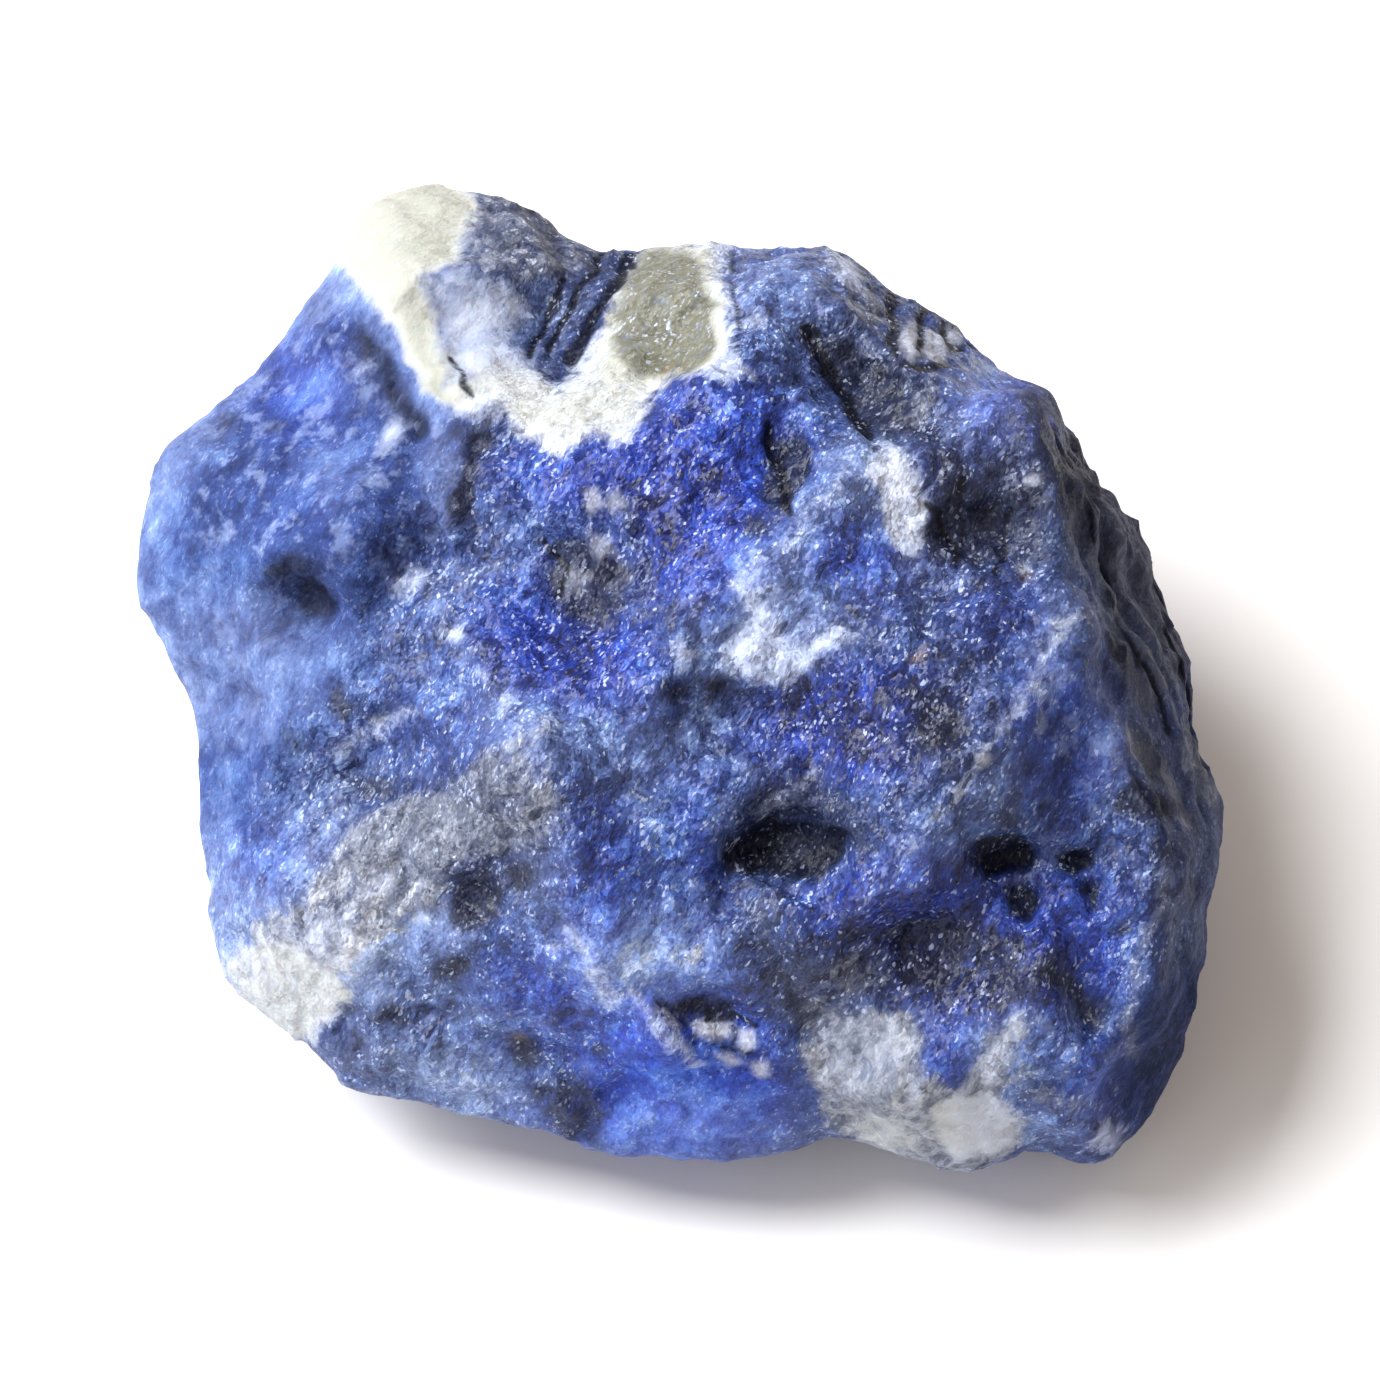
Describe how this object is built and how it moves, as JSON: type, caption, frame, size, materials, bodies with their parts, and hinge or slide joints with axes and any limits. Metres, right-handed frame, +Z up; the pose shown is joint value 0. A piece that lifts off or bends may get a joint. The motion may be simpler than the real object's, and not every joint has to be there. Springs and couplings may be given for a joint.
{
  "type": "rough sodalite",
  "caption": "Loose chunk of rough sodalite, broken on all sides, blue with white veins and dark patches, that lies on a small flat spot with its broad face up.",
  "frame": {"origin": "middle of the bounding box, on the level that the stone rests on", "axes": "+Z up; +X to the right along the stone's length; -Y towards the side that the broad face leans to"},
  "size_m": [0.044, 0.0374, 0.0225],
  "materials": {
    "sodalite": "rough broken stone, royal blue with white and grey veins and near-black patches, sugary grain with small glassy cleavage faces"
  },
  "bodies": {
    "root": {"sodalite_stone": "sodalite"}
  },
  "joints": []
}
